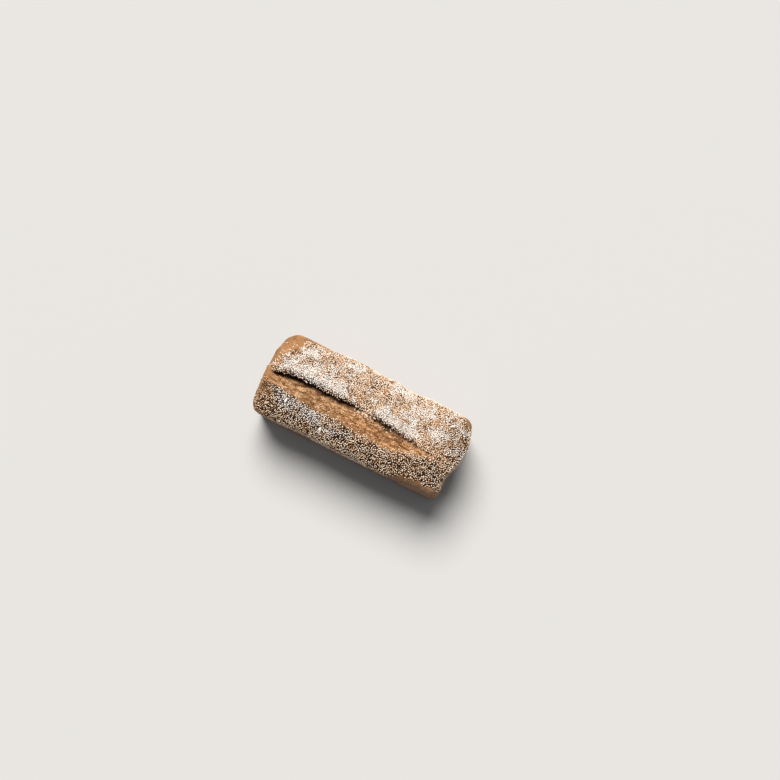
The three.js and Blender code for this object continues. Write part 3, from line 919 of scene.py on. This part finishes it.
def baked_and_shaded_share(spots):
    """1 where the top is darkest between the seeds, browner and with painted shade between them: on the
    near lobe, the lip's edge and the +X end.
    """
    x, y, _ = spots.T
    near_lobe = fade(near_edge(x) - y, *NEAR_LOBE_FADE)
    # The lip's edge: painted shade between the seeds there
    lip_edge = (1 - fade(y - lip_line(x), *LIP_EDGE_FADE)) * slash_opened(x)
    plus_end = fade(x, *PLUS_END_X)
    return np.maximum(np.maximum(near_lobe, LIP_EDGE_SHADE * lip_edge), PLUS_END_DARK * plus_end)


def floor_share(spots, slit):
    """The share of the top's seeds in the slash, from its ragged near edge to the slit."""
    x = spots[:, 0]
    bare = fade(slit + layered(spots, SLASH_EDGE_STRAY), STREWN_START, along_loaf(STREWN_END, x))
    by_slit = np.maximum(BRIDGE_SEEDED * bridge(x), TAIL_SEEDED * fade(x, *TAIL_SEEDED_X))
    by_slit = by_slit * fade(slit, *BY_SLIT_FADE)
    return np.maximum(np.maximum(1 - bare, by_slit), FLOOR_STRAYS)


def random_spots(crust, count):
    """Even random spots on the upper crust, with each one's normal and nearby vertex."""
    lowest = min(SEED_LOWEST_Z["values"]) - SPOT_MARGIN
    quads = crust.quads[crust.vertices[crust.quads[:, 0], 2] > lowest]
    corner = crust.vertices[quads[:, 0]]
    along = crust.vertices[quads[:, 1]] - corner
    across = crust.vertices[quads[:, 3]] - corner
    normal = np.cross(along, across)
    area = np.linalg.norm(normal, axis=1)
    chosen = rng.choice(len(quads), count, p=area / area.sum())
    part = rng.random((2, count, 1))
    spots = corner[chosen] + part[0] * along[chosen] + part[1] * across[chosen]
    return spots, normal[chosen] / area[chosen, None], quads[chosen, 0]


def spaced(spots, spacings, taken=()):
    """Which spots to keep so that each one's spacing clears the earlier ones and the taken ones."""
    widest = spacings.max()
    cells = {}
    kept = []

    def cell_of(spot):
        """The cell that a spot lies in."""
        return tuple(math.floor(value / widest) for value in spot)

    def around(cell):
        """The spots kept so far in a cell and in those next to it."""
        for near in itertools.product(*((place - 1, place, place + 1) for place in cell)):
            yield from cells.get(near, ())

    for spot in np.asarray(taken, float).reshape(-1, 3).tolist():
        cells.setdefault(cell_of(spot), []).append(spot)
    for index, (spot, spacing) in enumerate(zip(spots.tolist(), spacings.tolist())):
        cell = cell_of(spot)
        if all(math.dist(spot, other) >= spacing for other in around(cell)):
            cells.setdefault(cell, []).append(spot)
            kept.append(index)
    return np.array(kept, int)


def solid_seed_spots(crust_tree, topping):
    """Where the solid's own seeds of one topping lie: places, normals and headings."""
    found = []
    n = topping["first"]
    while len(found) < topping["count"]:
        x = (2 * ((n * SPREAD_STEP[0]) % 1) - 1) * HALF_LENGTH
        y = (2 * ((n * SPREAD_STEP[1]) % 1) - 1) * HALF_WIDTH
        if solid_is_seeded(x, y):
            place, normal, _, _ = crust_tree.ray_cast(Vector((x, y, LENGTH)), Vector((0, 0, -1)))
            found.append((*place, *normal, n * TURN_STEP))
        n += 1
    return np.split(np.array(found), (3, 6), axis=1)


def solid_is_seeded(x, y):
    """True where the solid has seeds: on the top, clear of the slash and of the bare corner."""
    in_slash = near_edge(x) - SOLID_SLASH_GAP < y < lip_line(x) + LIP_BACK / 2
    in_corner = x < SOLID_BARE_CORNER[0] and y > SOLID_BARE_CORNER[1]
    in_edge = abs(y) >= top_half_width(x, y) - SOLID_EDGE_Y or abs(x) >= HALF_LENGTH - SOLID_EDGE_X
    return not (in_slash or in_corner or in_edge)


def add_crust(crust):
    """The crust, coloured by where it is torn, seeded, floured or shaped by the tin, with painted shade
    between the seeds and in the pits and pores, a painted shadow in the slit and a painted highlight on the
    ridge.
    """
    vertices = crust.vertices
    x, y, z = vertices.T
    at_start = fade(x, *DARK_SLIT_X)
    ragged_slit = crust.slit + DARK_SLIT_WIDER * at_start + layered(vertices, SLIT_STRAY)
    share = seeded_share(vertices, crust.torn, crust.slit)
    seeded = fade(share, *SEEDED_FADE) * fade(z, *SEEDED_Z)
    baked_and_shaded = baked_and_shaded_share(vertices)
    tin_top = SHOULDER_Z + NEAR_TIN_RISE * fade(y, *NEAR_TIN_Y)
    floured = CRUST_FLOUR * flour_at(vertices) ** CRUST_FLOUR_POWER * (1 - DARKEST_CLEAN * baked_and_shaded)
    values = {
        "torn": crust.torn,
        "start": at_start,
        # The slit's painted shadow, where the slash is open
        "slit_shadow": fade(ragged_slit, *SLIT_SHADOW_FADE) * slash_opened(x),
        # Where the floor is more orange: partly toasted, partly a painted highlight on the ridge
        "ridge": fade(x, *RIDGE_X) * (1 - fade(crust.slit, *RIDGE_FADE)),
        "seeded": seeded,
        # Dark crust between the seeds: browning and painted shade, less at the -X end
        "baked_and_shaded": baked_and_shaded * along_loaf(DARK_GAP_SHARE, x),
        "wall": 1 - fade(z - tin_top, *TIN_FADE),
        # Where shade is painted in the walls' pores
        "pore": wall_pores(vertices),
        "low": 1 - fade(z, 0.0, LOW_HEIGHT),
        "flour": floured * (1 - crust.torn) * seeded,
        # Where shade is painted in the crumb's pits
        "pit": crumb_pits(vertices) * crust.torn,
    }
    faces = crust.quads.tolist() + crust.base_fan
    piece = add_piece("crust", vertices - crust.middle, faces, values, crust_material())
    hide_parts("loaf")


def add_kernels(crust, tree):
    """Sunflower kernels where the solid has them. Gives their places back."""
    spots, normals, turns = solid_seed_spots(tree, KERNELS)
    count = len(spots)
    axes = seed_axes(normals, turns[:, 0], np.full(count, KERNEL_TILT))
    spots = spots + KERNEL_RAISED * KERNELS["size"][2] * normals
    sizes = np.array(KERNELS["size"]) * rng.uniform(*KERNEL_VARIES, (count, 1))
    tones = rng.uniform(*KERNEL_TONED, count)
    look = seed_material("sunflower_kernel", KERNEL_TONES)
    places = spots - crust.middle, axes
    add_seeds("sunflower_kernels", KERNEL_FORM, places, sizes, tones, KERNEL_FLOUR * flour_at(spots), look)
    return spots


def scattered_sesame(crust, own_spots, kernels):
    """Random spots with their normals, and which of them the lower layer and the loose seeds take."""
    spots, normals, vertices = random_spots(crust, SESAME_SPOTS)
    share = seeded_share(spots, crust.torn[vertices], crust.slit[vertices])
    for kernel in kernels:
        share[np.linalg.norm(spots - kernel, axis=1) < KERNEL_CLEARING] = 0.0
    spacings = SESAME_SPACING * (1 + along_loaf(NEAR_SPREAD, spots[:, 0]) * baked_and_shaded_share(spots))
    lower = spaced(spots, spacings, own_spots)
    lower = lower[rng.random(len(lower)) < share[lower]]
    # From the last spot to the first, so that few loose seeds take the lower layer's spots
    loose = len(spots) - 1 - spaced(spots[::-1], np.full(len(spots), LOOSE_SPACING))
    loose_share = LOOSE_SHARE * (1 - LOOSE_THINNED * baked_and_shaded_share(spots[loose]))
    loose = loose[rng.random(len(loose)) < loose_share * share[loose]]
    return spots, normals, lower, loose


def sesame_tones(spots):
    """A tone for each sesame seed, browner in waves, at the -X end and where the top is darkest, and
    towards +X there partly toasted and partly as painted shade.
    """
    at_start = fade(spots[:, 0], *START_X)
    towards_end = fade(spots[:, 0], *END_TOAST_AND_SHADE_X)
    toasted = layered(spots, TONE_WAVES) + START_TOASTED * at_start + TONE_SHIFT
    baked_and_shaded = layered(spots, DARK_TOP_CLUMPS) + DARK_TOP_START_TOASTED * at_start + END_TOAST_AND_SHADE * towards_end
    toasted = toasted + baked_and_shaded * baked_and_shaded_share(spots)
    return np.clip(rng.beta(*TONE_SHAPE, len(spots)) + toasted, 0.0, 1.0)


def add_sesame(crust, tree, kernels):
    """Sesame seeds: the solid's own, a dense layer between them and loose ones. Gives them back."""
    own_spots, own_normals, own_turns = solid_seed_spots(tree, SOLID_SESAME)
    tried, tried_normals, lower, loose = scattered_sesame(crust, own_spots, kernels)
    normals = np.concatenate((own_normals, tried_normals[lower], tried_normals[loose]))
    count = len(normals)
    heights = rng.uniform(*SESAME_RAISED, count) * SESAME_SIZE[2]
    heights[-len(loose):] += LOOSE_RAISED * SESAME_SIZE[2]
    tilts = rng.uniform(*SESAME_TILT, count)
    tilts[-len(loose):] += LOOSE_TILT
    spots = np.concatenate((own_spots, tried[lower], tried[loose])) + heights[:, None] * normals
    turns = np.concatenate((own_turns[:, 0], rng.uniform(0.0, 2 * np.pi, count - len(own_turns))))
    axes = seed_axes(normals, turns, tilts)
    varied = rng.normal(1.0, SESAME_VARIES["spread"], (count, 3)).clip(*SESAME_VARIES["limits"])
    sizes = np.array(SESAME_SIZE) * varied
    sizes[:len(own_spots)] = SOLID_SESAME["size"]
    tones = sesame_tones(spots)
    floured = np.clip(FLOUR_ON_SEEDS * flour_at(spots) - rng.uniform(0.0, CLEAN_SEEDS, count), 0.0, 1.0)
    look = seed_material("sesame", SESAME_TONES)
    kinds = np.digitize(tones, GOLDEN_TONES)
    for kind, name in enumerate(("sesame_pale", "sesame_golden", "sesame_toasted")):
        chosen = kinds == kind
        places = spots[chosen] - crust.middle, axes[chosen]
        add_seeds(name, SESAME_FORM, places, sizes[chosen], tones[chosen], floured[chosen], look)
    return spots, axes, sizes, floured


def add_flour(crust, sesame):
    """Grains of flour on the seeds and the crust between them, in the dusted patches."""
    spots, axes, sizes, floured = sesame
    seed = rng.choice(len(spots), SEED_GRAINS, p=floured / floured.sum())
    points = SESAME_FORM[0]
    upper = np.flatnonzero(points[:, 2] > GRAIN_LEAST_RISE)
    on_seed = points[rng.choice(upper, SEED_GRAINS)] * sizes[seed]
    on_seeds = spots[seed] + np.einsum("nij,nj->ni", axes[seed], on_seed)
    on_crust, normals, vertices = random_spots(crust, CRUST_GRAIN_SPOTS)
    share = seeded_share(on_crust, crust.torn[vertices], crust.slit[vertices])
    share *= 1 - DARKEST_CLEAN * baked_and_shaded_share(on_crust)
    wanted = rng.random(len(on_crust)) < CRUST_GRAINS * flour_at(on_crust) * share
    grains = np.concatenate((on_seeds, on_crust[wanted]))
    ups = np.concatenate((axes[seed][..., 2], normals[wanted]))
    count = len(grains)
    turned = seed_axes(ups, rng.uniform(0.0, 2 * np.pi, count), np.full(count, GRAIN_TILT))
    grain_sizes = FLOUR_GRAIN * rng.uniform(*GRAIN_VARIES, (count, 3))
    places = grains - crust.middle, turned
    add_seeds("flour", GRAIN_FORM, places, grain_sizes, np.zeros(count), np.ones(count), flour_material())


def add_loaf():
    """The crust, its seeds and its flour."""
    crust = Crust()
    tree = BVHTree.FromPolygons(crust.vertices.tolist(), crust.quads.tolist())
    add_crust(crust)
    kernels = add_kernels(crust, tree)
    add_flour(crust, add_sesame(crust, tree, kernels))


# The stage


def add_floor():
    """A plain pale floor under the loaf."""
    mesh = bpy.data.meshes.new("floor")
    corners = [(x * FLOOR_HALF, y * FLOOR_HALF, 0.0) for x, y in ((-1, -1), (1, -1), (1, 1), (-1, 1))]
    mesh.from_pydata(corners, [], [(0, 1, 2, 3)])
    floor = add_object("floor", mesh)
    look = bpy.data.materials.new("pale_floor")
    look.use_nodes = True
    shader = look.node_tree.nodes["Principled BSDF"]
    shader.inputs["Base Color"].default_value = FLOOR_COLOUR
    shader.inputs["Roughness"].default_value = FLOOR_ROUGHNESS
    mesh.materials.append(look)


def add_key_light():
    """Soft light from beyond the loaf's far side."""
    lamp = bpy.data.lights.new("key", "SUN")
    lamp.energy = KEY_STRENGTH
    lamp.angle = KEY_SPREAD
    lamp.color = KEY_COLOUR
    level = math.cos(KEY_HEIGHT)
    to_light = Vector((level * math.cos(KEY_BEARING), level * math.sin(KEY_BEARING), math.sin(KEY_HEIGHT)))
    add_object("key", lamp).rotation_euler = to_light.to_track_quat("Z", "Y").to_euler()


def add_camera():
    """The photograph's viewpoint."""
    lens = bpy.data.cameras.new("camera")
    lens.lens = FOCAL_LENGTH
    lens.sensor_width = SENSOR_WIDTH
    camera = add_object("camera", lens)
    camera.location = CAMERA_PLACE
    camera.rotation_euler = (CAMERA_TILT, 0.0, CAMERA_TURN)
    bpy.context.scene.camera = camera


def set_stage():
    """Floor, light and camera."""
    scene = bpy.context.scene
    scene.view_settings.view_transform = "Standard"
    scene.world = bpy.data.worlds.new("studio")
    scene.world.use_nodes = True
    background = scene.world.node_tree.nodes["Background"]
    background.inputs["Color"].default_value = FILL_COLOUR
    background.inputs["Strength"].default_value = FILL_STRENGTH
    add_floor()
    add_key_light()
    add_camera()


add_loaf()
set_stage()
